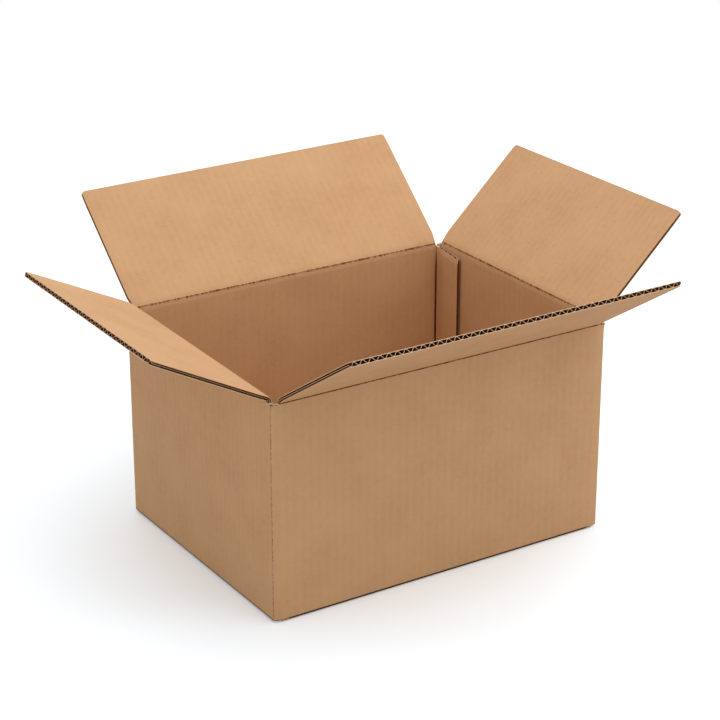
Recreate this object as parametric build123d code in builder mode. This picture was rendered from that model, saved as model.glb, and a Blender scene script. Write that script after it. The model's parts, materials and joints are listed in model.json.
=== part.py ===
from build123d import *
import os
from math import cos, radians, sin

# A plain corrugated shipping box, standing on its closed bottom with its four top flaps open.
# The origin is on the floor under the middle of the box. X runs along the long walls, +Z is up,
# and the front wall faces -Y.

# The board: two flat liners with a fluted sheet between them
board_thickness = 4.0
liner_thickness = 0.4
flute_sheet_thickness = 0.35
flute_tip_width = 0.9

# Inside size of the box
inside_length = 305.0
inside_width = 229.0

# Creases of the top flaps. The end flaps fold first, so their creases lie one board lower.
long_crease_height = 185.2
layer_gap = 0.2
crease_gap = 0.2

# Flaps, from their crease to their cut edge
long_flap_depth = 115.5
end_flap_depth = 109.0
slot_inset = 4.25
end_slot_inset = 4.5
slot_drop = 3.0
solid_root_depth = 8.0
flutes_per_long_flap = 42

# How far each top flap leans outwards from upright, in degrees
front_open = 57.5
back_open = 49.5
left_open = 61.5
right_open = 46.6

# Folds of the walls and of the bottom
upright_fold_radius = 4.2
foot_fold_radius = 3.2
end_lip_height = 1.6
bottom_layer_gap = 0.3

# Glue tab, inside the back right corner
tab_width = 35.0
tab_thickness = 3.8
tab_top_drop = 5.0
tab_taper = 6.0
tab_foot_gap = 3.0

# Tape across the seam of the bottom
tape_width = 50.0
tape_thickness = 0.2

outside_length = inside_length + 2 * board_thickness
outside_width = inside_width + 2 * board_thickness
half_length = outside_length / 2
half_width = outside_width / 2
end_crease_height = long_crease_height - board_thickness - layer_gap
long_flap_width = outside_length - 2 * slot_inset
end_flap_width = outside_width - 2 * end_slot_inset
flute_pitch = long_flap_width / flutes_per_long_flap
slot_floor = end_crease_height - slot_drop
outer_bottom_top = tape_thickness + board_thickness
inner_bottom_floor = outer_bottom_top + bottom_layer_gap
inner_bottom_top = inner_bottom_floor + board_thickness
cutter_reach = 10.0


def flap_plane(outward, crease_height, open_angle):
    """Plane across an open flap at its crease: X along the crease, Y to the inner face, Z to the tip."""
    half_span = half_length if outward[0] else half_width
    along = Vector(-outward[1], outward[0], 0)
    lean = radians(open_angle)
    towards_tip = Vector(outward[0] * sin(lean), outward[1] * sin(lean), cos(lean))
    crease = Vector(outward[0] * half_span, outward[1] * half_span, crease_height)
    return Plane(origin=crease, x_dir=along, z_dir=towards_tip)


def flute_void_outline(middle, towards_inner_liner):
    """Corners of one hollow between the fluted sheet and a liner, seen along the flutes."""
    near_liner = liner_thickness
    far_liner = board_thickness - liner_thickness
    slant = flute_sheet_thickness * 1.3
    base_half = flute_pitch / 2 - slant
    tip_half = flute_tip_width / 2 - flute_sheet_thickness / 4
    base_level, tip_level = near_liner, far_liner - flute_sheet_thickness
    if towards_inner_liner:
        base_level, tip_level = far_liner, near_liner + flute_sheet_thickness
    return [
        (middle - base_half, base_level),
        (middle + base_half, base_level),
        (middle + tip_half, tip_level),
        (middle - tip_half, tip_level),
    ]


def flute_voids(width):
    """Outlines of all the hollows that open at the cut edge of a flap of this width."""
    count = int(width / flute_pitch + 0.01)
    start = -count * flute_pitch / 2
    outer = [flute_void_outline(start + (i + 0.5) * flute_pitch, False) for i in range(count)]
    inner = [flute_void_outline(start + i * flute_pitch, True) for i in range(1, count)]
    return outer + inner


def make_flap(plane, width, depth):
    """One top flap: a bevelled root at the crease, then fluted board out to the cut edge."""
    with BuildPart() as flap:
        with BuildSketch(plane.offset(solid_root_depth)):
            with Locations((0, board_thickness / 2)):
                Rectangle(width, board_thickness)
            for outline in flute_voids(width):
                with BuildLine():
                    Polyline(*outline, close=True)
                make_face(mode=Mode.SUBTRACT)
        extrude(amount=depth - solid_root_depth)
        root_plane = Plane(origin=plane.origin, x_dir=plane.z_dir, z_dir=-plane.x_dir)
        with BuildSketch(root_plane):
            with BuildLine():
                Polyline(
                    (crease_gap, 0),
                    (solid_root_depth, 0),
                    (solid_root_depth, board_thickness),
                    (board_thickness + crease_gap, board_thickness),
                    close=True,
                )
            make_face()
        extrude(amount=width / 2, both=True)
    return flap.part


def crease_cutter(half_span, crease_height):
    """Corners of what is cut off above a wall, leaving its top bevelled inwards under the crease."""
    top = long_crease_height + cutter_reach
    over = 1.0
    return [
        (half_span + over, crease_height - crease_gap + over),
        (half_span - board_thickness - over, crease_height - crease_gap - board_thickness - over),
        (half_span - board_thickness - over, top),
        (half_span + over, top),
    ]


with BuildPart() as box_body:
    # Four walls, folded round with rounded upright edges
    with BuildSketch(Plane.XY.offset(tape_thickness)):
        RectangleRounded(outside_length, outside_width, upright_fold_radius)
        Rectangle(inside_length, inside_width, mode=Mode.SUBTRACT)
    extrude(amount=long_crease_height - tape_thickness)

    # The long walls fold under at the foot into the two outer bottom flaps
    with BuildSketch(Plane.YZ):
        for side in (1, -1):
            inner_edge = half_width - long_flap_depth
            with BuildLine():
                wall_line = Line((side * half_width, outer_bottom_top), (side * half_width, tape_thickness))
                seam_line = Line(wall_line @ 1, (side * inner_edge, tape_thickness))
                Line(seam_line @ 1, (side * inner_edge, outer_bottom_top))
                Line((side * inner_edge, outer_bottom_top), wall_line @ 0)
            make_face()
    extrude(amount=long_flap_width / 2, both=True)
    foot_edges = (
        box_body.edges()
        .filter_by(Axis.X)
        .filter_by(lambda edge: edge.center().Z < tape_thickness + 0.01)
        .filter_by(lambda edge: abs(edge.center().Y) > half_width - 0.01)
    )
    fillet(foot_edges, foot_fold_radius)

    # The end walls stop a little above the floor and fold in over the outer bottom flaps
    with BuildSketch(Plane.XZ):
        for side in (1, -1):
            wall_face = side * (half_length + 1.0)
            lip_start = side * (half_length - foot_fold_radius / 2)
            board_inside = side * (half_length - board_thickness)
            slot_edge = side * (half_length - slot_inset)
            with BuildLine():
                Polyline(
                    (wall_face, 0),
                    (wall_face, end_lip_height + foot_fold_radius / 2),
                    (side * half_length, end_lip_height + foot_fold_radius / 2),
                    (lip_start, end_lip_height),
                    (board_inside, inner_bottom_floor),
                    (slot_edge, inner_bottom_floor),
                    (slot_edge, 0),
                    close=True,
                )
            make_face()
    extrude(amount=outside_width, both=True, mode=Mode.SUBTRACT)
    inner_flap_span = half_length - end_flap_depth
    inner_flap_length = half_length - board_thickness - inner_flap_span
    with BuildSketch(Plane.XY.offset(inner_bottom_floor)):
        with Locations(*[(side * (inner_flap_span + inner_flap_length / 2), 0) for side in (1, -1)]):
            Rectangle(inner_flap_length, end_flap_width)
    extrude(amount=board_thickness)

    # Bevelled tops of the walls, where the flaps bend
    with BuildSketch(Plane.YZ):
        with BuildLine():
            Polyline(*crease_cutter(half_width, long_crease_height), close=True)
        make_face()
        mirror(about=Plane.YZ)
    extrude(amount=long_flap_width / 2, both=True, mode=Mode.SUBTRACT)
    with BuildSketch(Plane.XZ):
        with BuildLine():
            Polyline(*crease_cutter(half_length, end_crease_height), close=True)
        make_face()
        mirror(about=Plane.YZ)
    extrude(amount=end_flap_width / 2, both=True, mode=Mode.SUBTRACT)

    # Slots between neighbouring flaps, down to just below the creases
    with BuildSketch(Plane.XY.offset(slot_floor)):
        with GridLocations(outside_length, outside_width, 2, 2):
            Rectangle(2 * slot_inset, 2 * end_slot_inset)
    extrude(amount=long_crease_height, mode=Mode.SUBTRACT)

    # Glue tab: the end of the back wall, folded on and glued inside the right wall
    tab_corner = half_width - board_thickness
    tab_top = end_crease_height - tab_top_drop
    tab_foot = inner_bottom_top + tab_foot_gap
    with BuildSketch(Plane.YZ.offset(half_length - board_thickness - tab_thickness)):
        with BuildLine():
            Polyline(
                (tab_corner, tab_foot),
                (tab_corner, tab_top),
                (tab_corner - tab_width, tab_top - tab_taper),
                (tab_corner - tab_width, tab_foot + tab_taper),
                close=True,
            )
        make_face()
    extrude(amount=tab_thickness)

box_body.part.label = "box_body"

# The four open top flaps
flaps = {
    "front_flap": ((0, -1), long_crease_height, front_open, long_flap_width, long_flap_depth),
    "back_flap": ((0, 1), long_crease_height, back_open, long_flap_width, long_flap_depth),
    "left_flap": ((-1, 0), end_crease_height, left_open, end_flap_width, end_flap_depth),
    "right_flap": ((1, 0), end_crease_height, right_open, end_flap_width, end_flap_depth),
}
pieces = [box_body.part]
for name, (outward, crease_height, open_angle, width, depth) in flaps.items():
    flap = make_flap(flap_plane(outward, crease_height, open_angle), width, depth)
    flap.label = name
    pieces.append(flap)

# Tape along the seam between the two outer bottom flaps
with BuildPart() as bottom_tape:
    with BuildSketch():
        Rectangle(long_flap_width, tape_width)
    extrude(amount=tape_thickness)
bottom_tape.part.label = "bottom_tape"
pieces.append(bottom_tape.part)

os.makedirs("parts", exist_ok=True)
for piece in pieces:
    export_step(piece, f"parts/{piece.label}.step")
    print(piece.label, "volume", round(piece.volume / 1000, 1), "cm3", "solids", len(piece.solids()))
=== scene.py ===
import json
from math import atan2, ceil, copysign, cos, degrees, hypot, pi, radians, sin, tan, tanh

import bmesh
import bpy
from mathutils import Matrix, Vector, noise


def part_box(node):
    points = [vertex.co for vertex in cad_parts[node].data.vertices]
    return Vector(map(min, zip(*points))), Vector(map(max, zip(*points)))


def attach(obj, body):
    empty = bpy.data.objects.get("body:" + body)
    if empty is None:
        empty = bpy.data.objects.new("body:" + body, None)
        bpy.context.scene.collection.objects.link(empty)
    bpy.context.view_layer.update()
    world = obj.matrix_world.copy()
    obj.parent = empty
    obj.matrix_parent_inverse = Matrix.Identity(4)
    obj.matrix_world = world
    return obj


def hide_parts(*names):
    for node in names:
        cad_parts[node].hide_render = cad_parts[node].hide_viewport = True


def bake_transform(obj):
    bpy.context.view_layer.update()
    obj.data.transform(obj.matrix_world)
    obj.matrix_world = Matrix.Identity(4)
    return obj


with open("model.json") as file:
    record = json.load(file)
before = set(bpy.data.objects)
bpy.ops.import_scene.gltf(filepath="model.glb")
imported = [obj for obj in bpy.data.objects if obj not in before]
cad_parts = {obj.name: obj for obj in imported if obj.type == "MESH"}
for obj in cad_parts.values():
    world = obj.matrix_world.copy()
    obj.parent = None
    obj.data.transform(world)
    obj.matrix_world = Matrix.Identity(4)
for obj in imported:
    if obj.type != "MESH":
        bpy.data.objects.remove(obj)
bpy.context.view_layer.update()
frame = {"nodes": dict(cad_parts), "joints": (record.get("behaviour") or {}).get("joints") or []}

# Corrugated board as all pieces use it, in metres
board = {
    "thickness": 0.0040,
    "liner": 0.00042,
    "fluteSheet": 0.00034,
    "pitch": 0.00725,
    "fluteSteps": 8,          # faces across one flute
    "fluteShape": 1.5,        # more makes the crowns of the flutes flatter
    "sideSag": 0.0012,        # this near a cut side the fluted sheet hangs half way
    "lastRow": 0.0020,        # the last faces before a cut edge
    "column": 0.0018,
    "smoothAngle": 35,
}
up = Vector((0, 0, 1))
tiny = 1e-5
facing = 0.9                  # how far a normal has to agree with a direction
bodyLow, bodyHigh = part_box("box_body")
halfLength = bodyHigh.x
halfWidth = bodyHigh.y
floorGap = bodyLow.z
joints = {joint["name"]: joint for joint in frame["joints"]}


# Editing by hand, as small steps
def letGo():
    if bpy.context.object and bpy.context.object.mode != "OBJECT":
        bpy.ops.object.mode_set(mode="OBJECT")
    bpy.ops.object.select_all(action="DESELECT")


def pick(*objects):
    letGo()
    for obj in objects:
        obj.select_set(True)
    bpy.context.view_layer.objects.active = objects[0]


def startEdit(obj, mode="VERT"):
    pick(obj)
    bpy.ops.object.mode_set(mode="EDIT")
    bpy.ops.mesh.select_mode(type=mode)
    bpy.ops.mesh.select_all(action="DESELECT")


def endEdit():
    bpy.ops.object.mode_set(mode="OBJECT")


def choosePoints(obj, test):
    mesh = bmesh.from_edit_mesh(obj.data)
    for vert in mesh.verts:
        vert.select = test(vert.co)
    mesh.select_flush_mode()
    bmesh.update_edit_mesh(obj.data)


def chooseRows(obj, wanted):
    mesh = bmesh.from_edit_mesh(obj.data)
    for vert in mesh.verts:
        vert.select = wanted[vert.index]
    mesh.select_flush_mode()
    bmesh.update_edit_mesh(obj.data)


def chooseFaces(obj, test):
    mesh = bmesh.from_edit_mesh(obj.data)
    for face in mesh.faces:
        face.select = test(face.calc_center_median(), face.normal)
    mesh.select_flush_mode()
    bmesh.update_edit_mesh(obj.data)


def chooseEdges(obj, test):
    mesh = bmesh.from_edit_mesh(obj.data)
    for edge in mesh.edges:
        edge.select = test(edge.verts[0].co, edge.verts[1].co)
    mesh.select_flush_mode()
    bmesh.update_edit_mesh(obj.data)


def applyModifier(obj, kind, **values):
    pick(obj)
    modifier = obj.modifiers.new(kind.title(), kind)
    for key, value in values.items():
        setattr(modifier, key, value)
    bpy.ops.object.modifier_apply(modifier=modifier.name)


def joinAs(name, *objects):
    pick(*objects)
    bpy.ops.object.join()
    joined = bpy.context.object
    joined.name = name
    joined.data.name = name
    return joined


def smoothStep(t):
    t = min(max(t, 0.0), 1.0)
    return t * t * (3 - 2 * t)


def bump(t):
    return 1 - smoothStep(abs(t))


# Materials
kraft = {
    "light": (0.640, 0.388, 0.212, 1),
    "base": (0.585, 0.343, 0.178, 1),
    "dark": (0.500, 0.280, 0.138, 1),
    # dark colour along creases and folds: part real stain of the cracked liner, part painted shade
    "scoredAndShaded": (0.18, 0.066, 0.017, 1),
    "clouds": (0.045, 0.16),        # size in metres, and how far it changes the tone
    "blotches": (0.006, 0.08),
    "paleFibres": (0.0011, 0.35),
    "darkFibres": (0.0011, 0.45),
    "fibreStretch": 0.22,
    "fluteLines": 0.04,
    "stainAndShadeGrain": (0.0013, 0.3),
    "stainAndShadeEdge": (0.50, 0.85),
    "relief": (0.35, 0.00012),      # strength and height
    "reliefOf": (0.5, 0.6, 0.25),   # flutes, blotches and fibres
    "roughness": 0.82,
    "gloss": 0.12,
}
midNoise = (0.3, 0.7)           # most values of a noise texture lie between these
peakNoise = (0.62, 0.78)        # only its peaks


def newMaterial(name):
    material = bpy.data.materials.new(name)
    material.use_nodes = True
    nodes = material.node_tree.nodes
    return material, nodes, material.node_tree.links, nodes["Principled BSDF"]


def mathNode(nodes, links, operation, first, second):
    node = nodes.new("ShaderNodeMath")
    node.operation = operation
    for socket, value in ((node.inputs[0], first), (node.inputs[1], second)):
        if isinstance(value, (int, float)):
            socket.default_value = value
        else:
            links.new(value, socket)
    return node.outputs[0]


def noiseNode(nodes, links, place, size, detail=2.0, stretch=(1, 1, 1), turn=(0, 0, 0)):
    mapping = nodes.new("ShaderNodeMapping")
    mapping.inputs["Scale"].default_value = stretch
    mapping.inputs["Rotation"].default_value = turn
    links.new(place, mapping.inputs["Vector"])
    texture = nodes.new("ShaderNodeTexNoise")
    texture.inputs["Scale"].default_value = 1 / size
    texture.inputs["Detail"].default_value = detail
    links.new(mapping.outputs[0], texture.inputs["Vector"])
    return texture.outputs["Fac"]


def spread(nodes, links, value, low, high, outLow=0.0, outHigh=1.0):
    node = nodes.new("ShaderNodeMapRange")
    node.inputs["From Min"].default_value = low
    node.inputs["From Max"].default_value = high
    node.inputs["To Min"].default_value = outLow
    node.inputs["To Max"].default_value = outHigh
    links.new(value, node.inputs["Value"])
    return node.outputs[0]


def colourMix(nodes, links, factor, first, second):
    node = nodes.new("ShaderNodeMix")
    node.data_type = "RGBA"
    links.new(factor, node.inputs[0])
    for socket, value in ((node.inputs[6], first), (node.inputs[7], second)):
        if isinstance(value, tuple):
            socket.default_value = value
        else:
            links.new(value, socket)
    return node.outputs[2]


def pointValue(nodes, name, output):
    attribute = nodes.new("ShaderNodeAttribute")
    attribute.attribute_name = name
    return attribute.outputs[output]


def addRelief(nodes, links, shader, height, strength, distance):
    relief = nodes.new("ShaderNodeBump")
    relief.inputs["Strength"].default_value = strength
    relief.inputs["Distance"].default_value = distance
    links.new(height, relief.inputs["Height"])
    links.new(relief.outputs["Normal"], shader.inputs["Normal"])


def kraftLiner():
    material, nodes, links, shader = newMaterial("kraftLiner")
    place = pointValue(nodes, "boardPlace", "Vector")
    clouds = noiseNode(nodes, links, place, kraft["clouds"][0], 3)
    blotches = noiseNode(nodes, links, place, kraft["blotches"][0], 4)
    stretch = kraft["fibreStretch"]
    paleFibres = noiseNode(nodes, links, place, kraft["paleFibres"][0], 2, (1, stretch, 1), (0, 0, 0.5))
    darkFibres = noiseNode(nodes, links, place, kraft["darkFibres"][0], 2, (stretch, 1, 1), (0, 0, -0.3))
    # washboard: the flutes show through the liner as faint lines; Blender's bands are 2 pi / 20 apart
    wave = nodes.new("ShaderNodeTexWave")
    wave.wave_type = "BANDS"
    wave.bands_direction = "X"
    wave.inputs["Scale"].default_value = 2 * pi / (20 * board["pitch"])
    wave.inputs["Distortion"].default_value = 0
    links.new(place, wave.inputs["Vector"])
    cloudy, blotchy, lined = kraft["clouds"][1], kraft["blotches"][1], kraft["fluteLines"]
    tone = mathNode(nodes, links, "ADD", spread(nodes, links, clouds, *midNoise, -cloudy, cloudy), 0.5)
    blotchTone = spread(nodes, links, blotches, *midNoise, -blotchy, blotchy)
    tone = mathNode(nodes, links, "ADD", tone, blotchTone)
    tone = mathNode(nodes, links, "ADD", tone, spread(nodes, links, wave.outputs["Fac"], 0, 1, -lined, lined))
    paleTone = spread(nodes, links, paleFibres, *peakNoise, 0, kraft["paleFibres"][1])
    tone = mathNode(nodes, links, "ADD", tone, paleTone)
    darkTone = spread(nodes, links, darkFibres, *peakNoise, 0, kraft["darkFibres"][1])
    tone = mathNode(nodes, links, "SUBTRACT", tone, darkTone)
    ramp = nodes.new("ShaderNodeValToRGB")
    ramp.color_ramp.elements[0].color = kraft["dark"]
    ramp.color_ramp.elements[1].color = kraft["light"]
    middle = ramp.color_ramp.elements.new(0.5)
    middle.color = kraft["base"]
    links.new(tone, ramp.inputs["Fac"])
    # the liner is cracked and stained along the score lines, and painted darker there as shade of the folds
    # and creases
    scoredAndShaded = pointValue(nodes, "creaseWearAndShade", "Fac")
    grainSize, uneven = kraft["stainAndShadeGrain"]
    grain = noiseNode(nodes, links, place, grainSize, 3)
    stainAndShade = mathNode(nodes, links, "ADD", scoredAndShaded, spread(nodes, links, grain, *midNoise, -uneven, uneven))
    stainAndShade = spread(nodes, links, stainAndShade, *kraft["stainAndShadeEdge"])
    colour = colourMix(nodes, links, stainAndShade, ramp.outputs["Color"], kraft["scoredAndShaded"])
    links.new(colour, shader.inputs["Base Color"])
    ofFlutes, ofBlotches, ofFibres = kraft["reliefOf"]
    height = mathNode(nodes, links, "MULTIPLY", wave.outputs["Fac"], ofFlutes)
    height = mathNode(nodes, links, "ADD", height, mathNode(nodes, links, "MULTIPLY", blotches, ofBlotches))
    height = mathNode(nodes, links, "ADD", height, mathNode(nodes, links, "MULTIPLY", paleFibres, ofFibres))
    addRelief(nodes, links, shader, height, *kraft["relief"])
    shader.inputs["Roughness"].default_value = kraft["roughness"]
    shader.inputs["Specular IOR Level"].default_value = kraft["gloss"]
    return material


papers = {
    "cutPaper": {"low": (0.60, 0.39, 0.23, 1), "high": (0.78, 0.57, 0.38, 1), "grain": 0.0012,
                 "roughness": 0.9, "gloss": 0.05},
    # the fluted sheet is given a far darker brown than the kraft it is made of: painted shade of the deep
    # flutes
    "shadedFlutePaper": {"low": (0.125, 0.036, 0.008, 1), "high": (0.215, 0.082, 0.024, 1), "grain": 0.0014,
                   "roughness": 0.95, "gloss": 0.0},
    "paperTape": {"low": (0.36, 0.20, 0.10, 1), "high": (0.44, 0.26, 0.135, 1), "grain": 0.004,
                  "roughness": 0.6, "gloss": 0.05},
}
paperRelief = (0.5, 0.0001)


def plainPaper(name):
    paper = papers[name]
    material, nodes, links, shader = newMaterial(name)
    grain = noiseNode(nodes, links, pointValue(nodes, "boardPlace", "Vector"), paper["grain"], 3)
    tone = spread(nodes, links, grain, *midNoise)
    links.new(colourMix(nodes, links, tone, paper["low"], paper["high"]), shader.inputs["Base Color"])
    addRelief(nodes, links, shader, grain, *paperRelief)
    shader.inputs["Roughness"].default_value = paper["roughness"]
    shader.inputs["Specular IOR Level"].default_value = paper["gloss"]
    return material


boardMaterials = [kraftLiner(), plainPaper("cutPaper"), plainPaper("shadedFlutePaper")]
cutSlot, shadedFluteSlot = 1, 2
print("materials made")


# A flat piece of board: X across the flutes, Y along them, Z from the outer liner to the inner one
def addSheet(width, columns, rows):
    letGo()
    bpy.ops.mesh.primitive_grid_add(x_subdivisions=columns, y_subdivisions=1, size=1)
    sheet = bpy.context.object
    startEdit(sheet)
    bpy.ops.mesh.select_all(action="SELECT")
    bpy.ops.transform.resize(value=(width, rows[1] - rows[0], 1))
    bpy.ops.transform.translate(value=(0, (rows[0] + rows[1]) / 2, 0))
    choosePoints(sheet, lambda place: place.y > (rows[0] + rows[1]) / 2)
    for near, far in zip(rows[1:], rows[2:]):
        bpy.ops.mesh.extrude_region_move(TRANSFORM_OT_translate={"value": (0, far - near, 0)})
    return sheet


def cutSheet(sheet, cuts):
    for place, normal in cuts:
        startEdit(sheet)
        bpy.ops.mesh.select_all(action="SELECT")
        bpy.ops.mesh.bisect(plane_co=place, plane_no=normal, clear_outer=True, threshold=1e-7)
    endEdit()


def makeBoard(name, width, columns, rows, firstFlute=0.3, cuts=()):
    thick, liner, flute = board["thickness"], board["liner"], board["fluteSheet"]
    outerLiner = addSheet(width, columns, rows)
    cutSheet(outerLiner, cuts)
    innerLiner = addSheet(width, columns, rows)
    startEdit(innerLiner)
    bpy.ops.mesh.select_all(action="SELECT")
    bpy.ops.transform.translate(value=(0, 0, thick))
    cutSheet(innerLiner, cuts)
    # one flute, then as many as the width takes
    steps, pitch = board["fluteSteps"], board["pitch"]
    fluteSheet = addSheet(pitch, steps, rows)
    middle, reach, shape = thick / 2, (thick - 2 * liner - flute) / 2, board["fluteShape"]
    for step in range(steps + 1):
        across = (step / steps - 0.5) * pitch
        turn = 2 * pi * (step / steps - firstFlute)
        wave = tanh(shape * cos(turn)) / tanh(shape)
        choosePoints(fluteSheet, lambda place: abs(place.x - across) < pitch / steps / 3)
        bpy.ops.transform.translate(value=(0, 0, middle + reach * wave))
    endEdit()
    count = ceil(width / pitch - 0.01)
    applyModifier(fluteSheet, "ARRAY", count=count, use_merge_vertices=True, merge_threshold=tiny)
    startEdit(fluteSheet)
    bpy.ops.mesh.select_all(action="SELECT")
    bpy.ops.transform.translate(value=((pitch - width) / 2, 0, 0))
    cutSheet(fluteSheet, [*cuts, ((width / 2, 0, 0), (1, 0, 0))])
    # at the cut sides it hangs about half way between the liners
    for vert in fluteSheet.data.vertices:
        vert.co.z += (middle - vert.co.z) * bump((width / 2 - abs(vert.co.x)) / board["sideSag"])
    for sheet, thickness, side in ((outerLiner, liner, 1), (innerLiner, liner, -1), (fluteSheet, flute, 0)):
        for material in boardMaterials:
            sheet.data.materials.append(material)
        # the fluted sheet takes the dark colour, painted shade of the flutes
        if sheet is fluteSheet:
            for face in sheet.data.polygons:
                face.material_index = shadedFluteSlot
        applyModifier(sheet, "SOLIDIFY", thickness=thickness, offset=side,
                      material_offset_rim=-1 if sheet is fluteSheet else cutSlot)
    return joinAs(name, outerLiner, innerLiner, fluteSheet)


def standAt(obj, place, tip, inner):
    along = tip.cross(inner)
    matrix = Matrix((along, tip, inner)).transposed().to_4x4()
    matrix.translation = place
    obj.matrix_world = matrix
    pick(obj)
    bpy.ops.object.transform_apply(location=True, rotation=True, scale=True)


def markPlaces(obj, where):
    places = obj.data.attributes.new("boardPlace", "FLOAT_VECTOR", "POINT")
    values = []
    for vert in obj.data.vertices:
        values.extend(where(vert.co))
    places.data.foreach_set("vector", values)


# Creases of the top flaps
crease = {
    "strip": 0.0050,          # what of the wall is made with each flap
    "mitre": 0.0050,          # the liners slide past each other within this much of the fold
    "outerGroove": (0.0011, 0.0012),  # how deep, and how far from the fold
    "innerGroove": (0.0007, 0.0006),
    "innerDip": (0.0006, 0.0040),
    "ragged": (0.00028, 0.0009),      # how far the inner liner's fold wanders, and how near the fold
    "raggedGrain": (420, 1100),
    "outerWearAndShade": (0.0017, 1.00),      # how wide the stained and painted-shade line is, and how strong
    "innerWearAndShade": (0.0018, 0.70),
    "wearAndShadeGain": 1.6,
    "slot": (0.0008, 0.0018, 0.012),  # each side is narrower, most of all up to this far from the fold
    "slotReach": 0.008,
    "blend": 0.0024,
    # rows of faces on both sides of the fold, in millimetres from it, and how many more out to the tip
    "nearRows": (-5.0, -4.2, -3.4, -2.7, -2.1, -1.6, -1.2, -0.9, -0.6, -0.35, -0.15, 0.0, 0.15, 0.35,
                 0.6, 0.9, 1.2, 1.6, 2.1, 2.7, 3.4, 4.4, 6.0, 8.0, 11.0),
    "farRows": 9,
}

# Cut edges, crushed a little by the cutting rule
cutEdge = {
    "tipReach": 0.007,
    "sideReach": 0.004,
    "sideStart": (-0.002, 0.004),     # from here, and over this much, the crushed side begins at the fold
    "uneven": (0.6, 0.8),
    "grain": (160, 90),
    "tipRound": 0.0030,
}

# rise: the fold above the hinge; tipShift: the tip from the frame's place, outwards and up;
# twist and slant: how the two ends of the tip differ; tilt: how much one end of the fold is higher;
# crush: thickness lost at the tip and at the sides
flaps = {
    "front_flap": {"joint": "front_crease", "outward": Vector((0, -1, 0)), "rise": -0.0007,
                   "tipShift": (-0.0008, -0.0013), "depth": 0.1155, "width": 0.3045, "firstFlute": 0.13,
                   "twist": -0.0006, "slant": 0.0006, "tilt": 0.0, "crush": (0.03, 0.10), "turn": 1},
    "back_flap": {"joint": "back_crease", "outward": Vector((0, 1, 0)), "rise": -0.0024,
                  "tipShift": (-0.0004, -0.0017), "depth": 0.1155, "width": 0.3045, "firstFlute": 0.3,
                  "twist": 0.0008, "slant": 0.0010, "tilt": 0.0, "crush": (0.10, 0.20), "turn": -1},
    "left_flap": {"joint": "left_crease", "outward": Vector((-1, 0, 0)), "rise": 0.0056,
                  "tipShift": (-0.0025, 0.0), "depth": 0.1090, "width": 0.2280, "firstFlute": 0.3,
                  "twist": 0.0, "slant": -0.0027, "tilt": 0.0015, "crush": (0.05, 0.12), "turn": -1},
    "right_flap": {"joint": "right_crease", "outward": Vector((1, 0, 0)), "rise": 0.0041,
                   "tipShift": (-0.0001, 0.0038), "depth": 0.1090, "width": 0.2280, "firstFlute": 0.3,
                   "twist": 0.0, "slant": 0.0, "tilt": 0.0, "crush": (0.12, 0.28), "turn": 1},
}


def foldOf(name):
    flap = flaps[name]
    hinge, outward = Vector(joints[flap["joint"]]["pos_m"]), flap["outward"]
    openAngle = radians(-90 - joints[flap["joint"]]["range_deg"][0])
    inward = up * sin(openAngle) - outward * cos(openAngle)
    towardsTip = outward * sin(openAngle) + up * cos(openAngle)
    tip = hinge + towardsTip * flap["depth"] + inward * board["thickness"] / 2
    tip += outward * flap["tipShift"][0] + up * flap["tipShift"][1]
    fold = hinge - outward * board["thickness"] / 2 + up * flap["rise"]
    reach = tip - fold
    return fold, atan2(reach.dot(outward), reach.z), reach.length


backShift = 0.8               # keeps the back wall's pattern apart from the front wall's


def perimeterPlace(place):
    x, y, z = place
    onLong = halfWidth - abs(y) < halfLength - abs(x)
    if onLong and y < 0:
        return (x, z, y + halfWidth)
    if onLong:
        return (backShift - x, z, halfWidth - y)
    if x > 0:
        return (halfLength + halfWidth + y, z, halfLength - x)
    return (-halfLength - halfWidth - y, z, halfLength + x)


# The long walls are pressed in a little beside their upright folds
press = {
    "depth": 0.0016,
    "reach": 0.0125,
    "top": 0.1840,
    "fade": 0.007,
    "wallSide": (0.0045, 0.0030),     # starts this far inside the wall's face, over this much
    "columns": (0.0056, 0.0072, 0.0090, 0.0110, 0.0125),
}


def pressUprights(obj):
    inset, over = press["wallSide"]
    for vert in obj.data.vertices:
        away = halfLength - abs(vert.co.x)
        if away < press["reach"]:
            onLong = smoothStep((abs(vert.co.y) - halfWidth + inset) / over)
            fade = smoothStep((press["top"] - vert.co.z) / press["fade"])
            amount = press["depth"] * (1 - away / press["reach"]) ** 2 * onLong * fade
            vert.co.y -= amount if vert.co.y > 0 else -amount


def wobble(x, y, seed):
    return noise.noise(Vector((x, y, seed)))


# Corners of the tip are worn round
def wornCorner(x, y, endGap, sideGap):
    corner = cutEdge["tipRound"]
    if endGap < corner and sideGap < corner:
        over = hypot(corner - endGap, corner - sideGap) / corner
        if over > 1:
            y -= (corner - endGap) * (1 - 1 / over)
            x -= copysign((corner - sideGap) * (1 - 1 / over), x)
    return x, y


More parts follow.
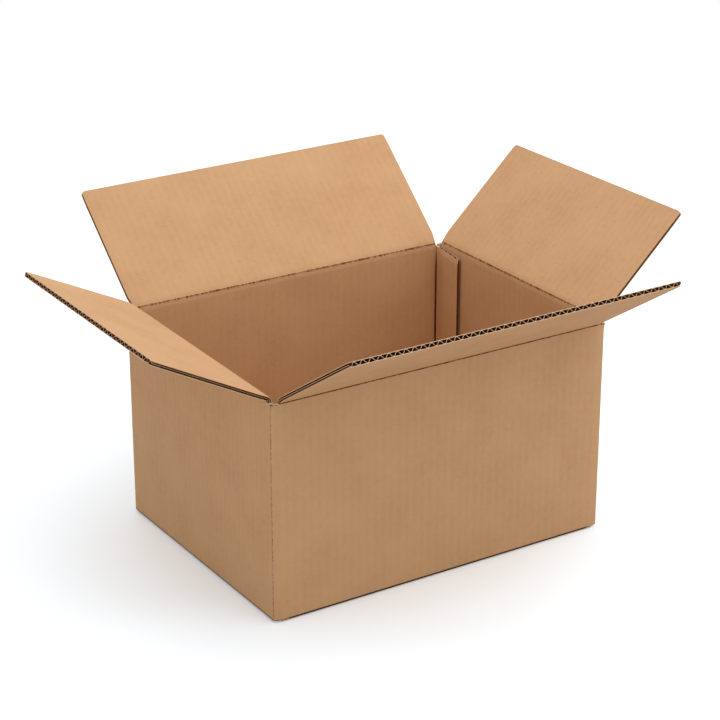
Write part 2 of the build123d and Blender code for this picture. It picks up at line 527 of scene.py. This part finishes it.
# Crushed edges, creases and slots of a flap, while it is still flat
def shapeFlat(obj, flap, depth, openAngle):
    thick, middle, half = board["thickness"], board["thickness"] / 2, flap["width"] / 2
    side, deep, reach = crease["slot"]
    wander, wanderReach = crease["ragged"]
    coarse, fine = crease["raggedGrain"]
    least, more = cutEdge["uneven"]
    grainX, grainY = cutEdge["grain"]
    sideFrom, sideOver = cutEdge["sideStart"]
    # the crease mark darkens the liner along the fold: part real stain of the cracked liner, part painted
    # shade that falls in the crease
    wearAndShade = obj.data.attributes.new("creaseWearAndShade", "FLOAT", "POINT")
    values = []
    for vert in obj.data.vertices:
        x, y, z = vert.co
        inner = z / thick
        wide, strong = crease["innerWearAndShade"] if inner > 0.5 else crease["outerWearAndShade"]
        values.append(strong * min(1.0, crease["wearAndShadeGain"] * max(0.0, 1 - abs(y) / wide)))
        endGap, sideGap = depth - y, half - abs(x)
        # what the cut edges keep of their thickness
        rough = 0.5 + wobble(x * grainX, y * grainY, 3.1)
        kept = 1 - flap["crush"][0] * (least + more * rough) * bump(endGap / cutEdge["tipReach"])
        sideCrush = flap["crush"][1] * bump(sideGap / cutEdge["sideReach"])
        kept *= 1 - sideCrush * smoothStep((y - sideFrom) / sideOver)
        z = middle + (z - middle) * kept
        # the two ends of the tip
        share, along = max(0.0, y) / depth, x / half
        z += flap["twist"] * along * share
        y += flap["slant"] * along * share
        x, y = wornCorner(x, y, endGap, sideGap)
        # the fold: the liners are cut off along its mitre, and the inner one is ragged
        slide = (z - middle) * tan(openAngle / 2) * bump(y / crease["mitre"])
        if abs(y) < wanderReach:
            ripple = wobble(x * coarse, 7.7, half * 100) + wobble(x * fine, 1.3, 5.0)
            slide += wander * ripple * inner
        # the slots are wider at the fold
        narrow = side + deep * bump(max(0.0, y) / reach)
        x -= copysign(narrow * smoothStep(1 - sideGap / crease["slotReach"]), x)
        y += slide if y < tiny else -slide
        vert.co = (x, y, z)
    wearAndShade.data.foreach_set("value", values)


def makeFlap(name):
    flap = flaps[name]
    fold, openAngle, depth = foldOf(name)
    near = [row / 1000 for row in crease["nearRows"]]
    span = depth - board["lastRow"] - near[-1]
    far = [near[-1] + span * (i + 1) / crease["farRows"] for i in range(crease["farRows"])]
    columns = round(flap["width"] / board["column"])
    obj = makeBoard(name + "_board", flap["width"], columns, near + far + [depth], flap["firstFlute"])
    # scored from both sides
    startEdit(obj)
    for row in near:
        low = crease["outerGroove"][0] * bump(row / crease["outerGroove"][1])
        high = board["thickness"] - crease["innerDip"][0] * bump(row / crease["innerDip"][1])
        high -= crease["innerGroove"][0] * bump(row / crease["innerGroove"][1])
        choosePoints(obj, lambda place: abs(place.y - row) < 5 * tiny)
        kept = (high - low) / board["thickness"]
        bpy.ops.transform.resize(value=(1, 1, kept), center_override=(0, 0, 0))
        bpy.ops.transform.translate(value=(0, 0, low))
    endEdit()
    flat = [vert.co.copy() for vert in obj.data.vertices]
    onFlap = [place.y > tiny for place in flat]
    shapeFlat(obj, flap, depth, openAngle)
    standAt(obj, fold + flap["outward"] * board["thickness"] / 2, up, -flap["outward"])
    markPlaces(obj, perimeterPlace)
    onLong = abs(flap["outward"].y) > facing
    if onLong:
        pressUprights(obj)
    startEdit(obj)
    chooseRows(obj, onFlap)
    bpy.ops.transform.rotate(value=-flap["turn"] * openAngle, orient_axis="X" if onLong else "Y",
                             orient_type="GLOBAL", center_override=fold)
    endEdit()
    # one end of the fold higher than the other
    for vert, place in zip(obj.data.vertices, flat):
        share = 1 - place.y / depth if place.y > 0 else 1 + place.y / crease["strip"]
        vert.co.z += flap["tilt"] * share * 2 * place.x / flap["width"]
    print("flap", name, "open", round(degrees(openAngle), 1), "faces", len(obj.data.polygons))
    return obj


shell = {
    "foldRadius": 0.0022,
    "foldSteps": 6,
    "rows": (0.0022, 0.006, 0.016, 0.040, 0.070, 0.100, 0.130, 0.150, 0.162, 0.170, 0.1740, 0.1775),
    "cornerTop": 0.1822,
    "endFoot": 0.0017,
    "endFootFold": (0.0013, 3),       # radius, and faces round it
    "longFootFold": (0.0026, 5),
    "slotX": 0.14965,
    "slotY": 0.11140,
    "jointGap": 0.0008,       # between the cut end of the right wall and the back wall's face
    "linerRim": 0.0007,
    "crushedDip": 0.0012,
    "quarters": (-2.5, -1.5, -0.5, 0.5, 1.5, 2.5),    # columns of the walls, in quarters of half a wall
}
# Scored line up each inner corner
upright = {
    "groove": (0.0019, 0.0026),       # half its width, and its depth
    "top": 0.1775,
    "narrow": (0.0004, 0.075),        # half its width at the top, and what it gains on the way down
    "closed": 0.0001,
    "shoulder": 0.0002,
    "edgeLift": 0.0001,
    "crowd": (0.0003, 0.02),          # columns that come too near are crowded beside the groove
    # darkening inside each upright groove and along the outer rounding of the fold: part real wear of the
    # score, part painted shade of the fold
    "innerWearAndShade": (0, 0.4, 0.9, 1, 0.9, 0.4, 0),
    "outerWearAndShade": (0, 0, 0, 0.15, 0.56, 0.66, 0.50),
    "wearAndShadeFade": 0.0008,
}
# Glue tab inside the back right corner
tab = {
    "width": 0.0321,
    "foot": 0.0115,
    "top": 0.1812,
    "taper": 0.0032,
    "faceGap": 0.0002,
    "lip": 0.0040,                    # what of the tab is made with the walls
    "zone": 0.1,                      # walls past this y and the slot are the tab's fold
    "foldThickness": 0.0025,
    "foldReach": 0.011,
    "thickness": 0.0036,
    "crush": (0.28, 0.0045),          # how much, and how far down from the top
    "shadedEdge": (0.0012, 0.7),       # how wide, and how far its faces look outwards
    "ragged": (0.0005, 0.0008, 130),  # how far, how near the free edge, and how fine
    "firstFlute": 0.1,
    "columns": 26,
    "rows": 14,
    "topRows": (0.0085, 0.0070, 0.0055, 0.0042, 0.0030, 0.0018, 0.0008, 0),
}
tabFace = halfLength - board["thickness"] - tab["faceGap"]


def isOutside(place):
    radius = shell["foldRadius"]
    overX = abs(place.x) - halfLength + radius
    overY = abs(place.y) - halfWidth + radius
    if overX > tiny / 10 and overY > tiny / 10:
        return hypot(overX, overY) > radius - 10 * tiny
    return overX > radius - tiny or overY > radius - tiny


# Points across the groove, from the long wall to the end wall
def grooveProfile(cornerX, cornerY, mouth, depth):
    start, lift = mouth + upright["shoulder"], upright["edgeLift"]
    return [
        (cornerX - start, cornerY),
        (cornerX - 0.6 * mouth, cornerY + lift),
        (cornerX - 0.1 * mouth, cornerY + 0.45 * depth),
        (cornerX + 0.62 * depth, cornerY + 0.62 * depth),
        (cornerX + 0.45 * depth, cornerY - 0.1 * mouth),
        (cornerX + lift, cornerY - 0.6 * mouth),
        (cornerX, cornerY - start),
    ]


# Inside each upright fold the liner is pressed into the corner along a scored line
def scoreUprights(walls, outerCount):
    thick, radius = board["thickness"], shell["foldRadius"]
    (wide, deep), top = upright["groove"], upright["top"]
    least, gain = upright["narrow"]
    crowd, squeeze = upright["crowd"]
    # the crease mark paints the upright folds darker: part real wear, part painted shade of the groove and of
    # the rounded outer edge
    wearAndShade = walls.data.attributes.new("creaseWearAndShade", "FLOAT", "POINT")
    for index in range(outerCount):
        outer, point = walls.data.vertices[index].co, walls.data.vertices[index + outerCount]
        signX, signY = copysign(1, outer.x), copysign(1, outer.y)
        atTab = signX > 0 and signY > 0 and outer.x < tabFace + tiny
        if signX > 0 and signY > 0 and not atTab:
            continue
        cornerX = tabFace - tab["foldThickness"] if atTab else halfLength - thick
        cornerY = halfWidth - thick
        arcX, arcY = (tabFace if atTab else halfLength) - radius, halfWidth - radius
        mouth = min(wide, least + gain * (top - outer.z)) if outer.z < top - tiny else upright["closed"]
        depth = min(deep, 2 * mouth)
        nearX = cornerX - mouth - upright["shoulder"] - crowd
        nearY = cornerY - mouth - upright["shoulder"] - crowd
        overX, overY = abs(outer.x) - arcX, abs(outer.y) - arcY
        if overX > -tiny and overY > -tiny:
            share = round(atan2(overX, overY) / (pi / 2) * shell["foldSteps"])
            x, y = grooveProfile(cornerX, cornerY, mouth, depth)[share]
            point.co.x, point.co.y = signX * x, signY * y
            fade = smoothStep(mouth / upright["wearAndShadeFade"])
            wearAndShade.data[index + outerCount].value = upright["innerWearAndShade"][share] * fade
            wearAndShade.data[index].value = upright["outerWearAndShade"][share]
        elif atTab and overX > -tiny:
            point.co.x, point.co.y = cornerX, outer.y
        elif overY > -tiny and abs(point.co.x) > nearX:
            point.co.x = signX * (nearX + squeeze * (abs(point.co.x) - nearX))
        elif overX > -tiny and abs(point.co.y) > nearY:
            point.co.y = signY * (nearY + squeeze * (abs(point.co.y) - nearY))


# The outline of the walls on the floor, with rounded upright folds
def drawOutline():
    radius = shell["foldRadius"]
    letGo()
    bpy.ops.mesh.primitive_plane_add(size=1)
    walls = bpy.context.object
    startEdit(walls)
    bpy.ops.mesh.select_all(action="SELECT")
    bpy.ops.transform.resize(value=(2 * halfLength, 2 * halfWidth, 1))
    bpy.ops.transform.translate(value=(0, 0, floorGap))
    bpy.ops.mesh.bevel(affect="VERTICES", offset=radius, segments=shell["foldSteps"])
    bpy.ops.mesh.select_all(action="SELECT")
    bpy.ops.mesh.delete(type="ONLY_FACE")
    # at the back right corner the back wall folds on inside the right wall, as the glue tab
    choosePoints(walls, lambda p: p.x > halfLength - radius + tiny and p.y > halfWidth - radius + tiny)
    bpy.ops.mesh.delete(type="VERT")
    choosePoints(walls, lambda p: p.x > halfLength - tiny and p.y > 0)
    bpy.ops.transform.translate(value=(0, radius - shell["jointGap"], 0))
    choosePoints(walls, lambda p: p.x > 0 and p.y > halfWidth - tiny)
    bpy.ops.transform.translate(value=(tabFace - halfLength, 0, 0))
    turnAbout = (tabFace - radius, halfWidth - radius, floorGap)
    bpy.ops.mesh.spin(steps=shell["foldSteps"], angle=radians(90), center=turnAbout, axis=(0, 0, 1))
    bpy.ops.mesh.extrude_region_move(TRANSFORM_OT_translate={"value": (0, -tab["lip"], 0)})
    return walls


# Walls, row by row, with columns where the flaps, the slots and the tab begin
def raiseWalls(tops):
    marks = (floorGap, shell["endFoot"], tab["top"], shell["cornerTop"])
    rows = sorted({*marks, *shell["rows"], *tops.values()})
    bpy.ops.mesh.select_all(action="SELECT")
    for low, high in zip(rows, rows[1:]):
        bpy.ops.mesh.extrude_region_move(TRANSFORM_OT_translate={"value": (0, 0, high - low)})
    bpy.ops.mesh.select_all(action="SELECT")
    bpy.ops.mesh.normals_make_consistent(inside=False)
    places = [(0, side * shell["slotX"]) for side in (1, -1)]
    places += [(1, side * shell["slotY"]) for side in (1, -1)]
    places += [(0, side * (halfLength - away)) for side in (1, -1) for away in press["columns"]]
    places += [(0, along * halfLength / 4) for along in shell["quarters"]]
    places += [(1, along * halfWidth / 4) for along in shell["quarters"]]
    for axis, place in places:
        spot, normal = Vector(), Vector()
        spot[axis], normal[axis] = place, 1
        bpy.ops.mesh.select_all(action="SELECT")
        bpy.ops.mesh.bisect(plane_co=spot, plane_no=normal, threshold=1e-6)


# What the flaps, the slots, the glue tab and the feet of the end walls leave out
def cutWalls(walls, tops):
    def isAway(c, n):
        if tab["zone"] < c.y and shell["slotX"] < c.x < tabFace + tiny:
            onLip = c.y < halfWidth - shell["foldRadius"] - tiny
            return c.z > tab["top"] or c.z < (tab["foot"] if onLip else shell["endFoot"])
        if abs(c.x) < shell["slotX"] and abs(c.y) > halfWidth - tiny:
            return c.z > tops["front_flap" if c.y < 0 else "back_flap"]
        if abs(c.y) < shell["slotY"] and abs(c.x) > halfLength - tiny:
            return c.z > tops["left_flap" if c.x < 0 else "right_flap"] or c.z < shell["endFoot"]
        return c.z < shell["endFoot"]

    bpy.ops.mesh.select_mode(type="FACE")
    chooseFaces(walls, isAway)
    bpy.ops.mesh.delete(type="FACE")
    endEdit()


def faceOutwards(walls):
    front = min(walls.data.polygons, key=lambda face: face.center.y)
    if front.normal.y > 0:
        startEdit(walls)
        bpy.ops.mesh.select_all(action="SELECT")
        bpy.ops.mesh.flip_normals()
        endEdit()


def foldFeet(walls):
    startEdit(walls, "EDGE")
    chooseEdges(walls, lambda a, b: max(a.z, b.z) < floorGap + tiny and isOutside(a) and isOutside(b))
    offset, segments = shell["longFootFold"]
    bpy.ops.mesh.bevel(affect="EDGES", offset=offset, segments=segments)
    chooseEdges(walls, lambda a, b: abs(a.z - shell["endFoot"]) + abs(b.z - shell["endFoot"]) < tiny
                and isOutside(a) and isOutside(b) and max(abs(a.x), abs(b.x)) > shell["slotX"] + tiny)
    offset, segments = shell["endFootFold"]
    bpy.ops.mesh.bevel(affect="EDGES", offset=offset, segments=segments)


# Between the two liners of a cut edge lies the crushed fluted sheet, a little deeper
def crushCuts(walls):
    bpy.ops.mesh.select_mode(type="FACE")
    # in the slots
    chooseFaces(walls, lambda c, n: n.z > facing and abs(c.z - shell["cornerTop"]) < tiny)
    bpy.ops.mesh.inset(thickness=shell["linerRim"], use_boundary=True)
    # the crushed sheet in the cut takes the dark fluted-sheet colour, painted shade
    bpy.context.object.active_material_index = shadedFluteSlot
    bpy.ops.object.material_slot_assign()
    bpy.ops.transform.translate(value=(0, 0, -shell["crushedDip"]))
    # at the cut end of the right wall, where it laps the glue tab
    cutEnd = halfWidth - shell["jointGap"]
    chooseFaces(walls, lambda c, n: n.y > facing and abs(c.y - cutEnd) < tiny and c.x > tabFace
                and shell["endFoot"] < c.z < shell["rows"][-1])
    bpy.ops.mesh.inset(thickness=shell["linerRim"], use_boundary=True)
    bpy.ops.object.material_slot_assign()
    bpy.ops.transform.translate(value=(0, -shell["crushedDip"], 0))
    endEdit()


def makeWalls():
    walls = drawOutline()
    tops = {name: foldOf(name)[0].z - crease["strip"] for name in flaps}
    raiseWalls(tops)
    cutWalls(walls, tops)
    faceOutwards(walls)
    for material in boardMaterials:
        walls.data.materials.append(material)
    outerCount = len(walls.data.vertices)
    applyModifier(walls, "SOLIDIFY", thickness=board["thickness"], offset=-1, use_even_offset=True,
                  material_offset_rim=cutSlot)
    scoreUprights(walls, outerCount)
    foldFeet(walls)
    crushCuts(walls)
    markPlaces(walls, perimeterPlace)
    pressUprights(walls)
    return walls


# The glue tab goes on from the fold inside the back right corner; its edges are crushed flat
def makeTab():
    high, wide, taper = tab["top"] - tab["foot"], tab["width"], tab["taper"]
    cuts = [((-wide / 2, high, 0), (taper, wide, 0)), ((-wide / 2, 0, 0), (taper, -wide, 0))]
    rows = [high * step / tab["rows"] for step in range(tab["rows"])]
    rows += [high - away for away in tab["topRows"]]
    flap = makeBoard("glueTab", wide, tab["columns"], rows, tab["firstFlute"], cuts)
    # its free edge is given the dark fluted-sheet colour, painted shade of the open flutes
    shadedWidth, outwards = tab["shadedEdge"]
    for face in flap.data.polygons:
        if face.normal.x > outwards and face.center.x > wide / 2 - shadedWidth:
            face.material_index = shadedFluteSlot
    thinner = tab["thickness"] - tab["foldThickness"]
    crushed, crushReach = tab["crush"]
    ragged, raggedReach, grain = tab["ragged"]
    for vert in flap.data.vertices:
        x, y, z = vert.co
        fromFold, fromSide = x + wide / 2, wide / 2 - x
        fromTop = high - taper * fromFold / wide - y
        kept = tab["thickness"] - thinner * bump(fromFold / tab["foldReach"])
        kept *= 1 - crushed * bump(fromTop / crushReach)
        if fromSide < raggedReach:
            vert.co.x -= ragged * max(0.0, wobble(y * grain, 2.2, 8.1))
        vert.co.z = z * kept / board["thickness"]
    fold = halfWidth - shell["foldRadius"] - tab["lip"]
    standAt(flap, Vector((tabFace, fold - wide / 2, tab["foot"])), up, Vector((-1, 0, 0)))
    markPlaces(flap, lambda p: (p.y, p.z, p.x))
    return flap


# The outer bottom flaps fold in from the long walls, the inner ones from the end walls
bottom = {
    "outerGap": 0.0030,
    "outerWidth": 0.3045,
    "outerRow": 0.06,
    "innerSpan": 0.0475,
    "innerWidth": 0.2280,
    "innerRow": 0.05,
    "innerFloor": 0.0045,
    "columns": 12,
}


def makeBottomFlap(name, width, row, reach):
    return makeBoard(name, width, bottom["columns"], (0, row, reach - board["lastRow"], reach))


def makeShell():
    pieces = [makeWalls()]
    startX, startY = halfLength - board["thickness"], halfWidth - board["thickness"]
    for side in (-1, 1):
        reach = startY - bottom["outerGap"]
        flap = makeBottomFlap("outerBottom", bottom["outerWidth"], bottom["outerRow"], reach)
        standAt(flap, Vector((0, side * startY, floorGap)), Vector((0, -side, 0)), up)
        markPlaces(flap, lambda p: (p.x, p.y, p.z))
        pieces.append(flap)
    for side in (-1, 1):
        reach = startX - bottom["innerSpan"]
        flap = makeBottomFlap("innerBottom", bottom["innerWidth"], bottom["innerRow"], reach)
        standAt(flap, Vector((side * startX, 0, bottom["innerFloor"])), Vector((-side, 0, 0)), up)
        markPlaces(flap, lambda p: (p.y, p.x, p.z))
        pieces.append(flap)
    pieces.append(makeTab())
    return joinAs("box_shell", *pieces)


boxShell = makeShell()
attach(boxShell, "box")
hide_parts("box_body")
print("box shell faces", len(boxShell.data.polygons))

for name in flaps:
    flapBoard = makeFlap(name)
    fold, openAngle, depth = foldOf(name)
    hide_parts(name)
    flapBoard.name = name + "_board"
    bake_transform(flapBoard)
    pick(flapBoard)
    bpy.ops.object.shade_smooth_by_angle(angle=radians(board["smoothAngle"]))
pick(boxShell)
bpy.ops.object.shade_smooth_by_angle(angle=radians(board["smoothAngle"]))

tapeObj = frame["nodes"]["bottom_tape"]
tapeObj.data.materials.clear()
tapeObj.data.materials.append(plainPaper("paperTape"))

# Camera, floor and light
view = {
    "azimuth": -32.569,
    "elevation": 22.25,
    "distance": 1.80626,
    "focal": 2171.56,         # in pixels of the photo, which is this many wide
    "pixels": 720,
    "sensor": 36,
    "aim": (-0.003314, 0.059439),
    "height": 0.08,
    "clip": (0.05, 50),
}
floorDisc = {"radius": 1.4, "sides": 96}
light = {"world": 0.59, "floor": 0.72, "floorSeen": (0.98, 1.06, 1.12, 1), "floorGlow": 0.16}


def setCamera():
    turn, rise = radians(view["azimuth"]), radians(view["elevation"])
    back = Vector((sin(turn) * cos(rise), -cos(turn) * cos(rise), sin(rise)))
    right = Vector((cos(turn), sin(turn), 0))
    above = back.cross(right)
    aim = Vector((0, 0, view["height"])) + right * view["aim"][0] + above * view["aim"][1]
    bpy.ops.object.camera_add(location=aim + back * view["distance"])
    camera = bpy.context.object
    camera.rotation_euler = Matrix((right, above, back)).transposed().to_euler()
    camera.data.lens = view["focal"] / view["pixels"] * view["sensor"]
    camera.data.sensor_width = view["sensor"]
    camera.data.clip_start, camera.data.clip_end = view["clip"]
    bpy.context.scene.camera = camera


def seenDirectly(nodes, links):
    path = nodes.new("ShaderNodeLightPath")
    seen = mathNode(nodes, links, "MAXIMUM", path.outputs["Is Camera Ray"], path.outputs["Is Glossy Ray"])
    return mathNode(nodes, links, "MAXIMUM", seen, path.outputs["Is Transmission Ray"])


def setWorld():
    world = bpy.data.worlds.new("studio")
    bpy.context.scene.world = world
    world.use_nodes = True
    nodes, links = world.node_tree.nodes, world.node_tree.links
    plain = nodes["Background"]
    plain.inputs["Strength"].default_value = light["world"]
    plain.inputs["Color"].default_value = (1, 1, 1, 1)
    white = nodes.new("ShaderNodeBackground")
    white.inputs["Color"].default_value = (1, 1, 1, 1)
    mix = nodes.new("ShaderNodeMixShader")
    links.new(seenDirectly(nodes, links), mix.inputs[0])
    links.new(plain.outputs[0], mix.inputs[1])
    links.new(white.outputs[0], mix.inputs[2])
    links.new(mix.outputs[0], nodes["World Output"].inputs["Surface"])


def setFloor():
    letGo()
    sides, radius = floorDisc["sides"], floorDisc["radius"]
    bpy.ops.mesh.primitive_circle_add(vertices=sides, radius=radius, fill_type="NGON")
    floor = bpy.context.object
    floor.name = "studioFloor"
    material = bpy.data.materials.new("paleFloor")
    material.use_nodes = True
    nodes, links = material.node_tree.nodes, material.node_tree.links
    nodes.remove(nodes["Principled BSDF"])
    bounce = nodes.new("ShaderNodeBsdfDiffuse")
    bounce.inputs["Color"].default_value = (light["floor"],) * 3 + (1,)
    shown = nodes.new("ShaderNodeBsdfDiffuse")
    shown.inputs["Color"].default_value = light["floorSeen"]
    glow = nodes.new("ShaderNodeEmission")
    glow.inputs["Strength"].default_value = light["floorGlow"]
    both = nodes.new("ShaderNodeAddShader")
    links.new(shown.outputs[0], both.inputs[0])
    links.new(glow.outputs[0], both.inputs[1])
    mix = nodes.new("ShaderNodeMixShader")
    links.new(seenDirectly(nodes, links), mix.inputs[0])
    links.new(bounce.outputs[0], mix.inputs[1])
    links.new(both.outputs[0], mix.inputs[2])
    links.new(mix.outputs[0], nodes["Material Output"].inputs["Surface"])
    floor.data.materials.append(material)


lamps = {
    "topBox": {"place": (0.1, 0.2, 1.6), "size": 1.8, "power": 9.9},
    "frontBox": {"place": (0.0, -1.0, 1.5), "size": 1.4, "power": 4.7},
    "rightBox": {"place": (1.1, -0.3, 1.3), "size": 1.2, "power": 4.15},
    "lowRightBox": {"place": (1.3, -1.5, 0.9), "size": 1.2, "power": 4.8},
    "lowLeftBox": {"place": (-1.7, 0.0, 0.45), "size": 0.8, "power": 2.05},
    "backBox": {"place": (0.2, 1.6, 1.2), "size": 1.2, "power": 3.1},
}


lampAim = Vector((0, 0, 0.12))


def setLamps():
    for name, lamp in lamps.items():
        bpy.ops.object.light_add(type="AREA", location=lamp["place"])
        obj = bpy.context.object
        obj.name = name
        obj.data.shape = "SQUARE"
        obj.data.size = lamp["size"]
        obj.data.energy = lamp["power"]
        towards = lampAim - Vector(lamp["place"])
        obj.rotation_euler = towards.to_track_quat("-Z", "Y").to_euler()


setCamera()
setWorld()
setFloor()
setLamps()
bpy.context.scene.view_settings.view_transform = "Standard"
print("studio set")
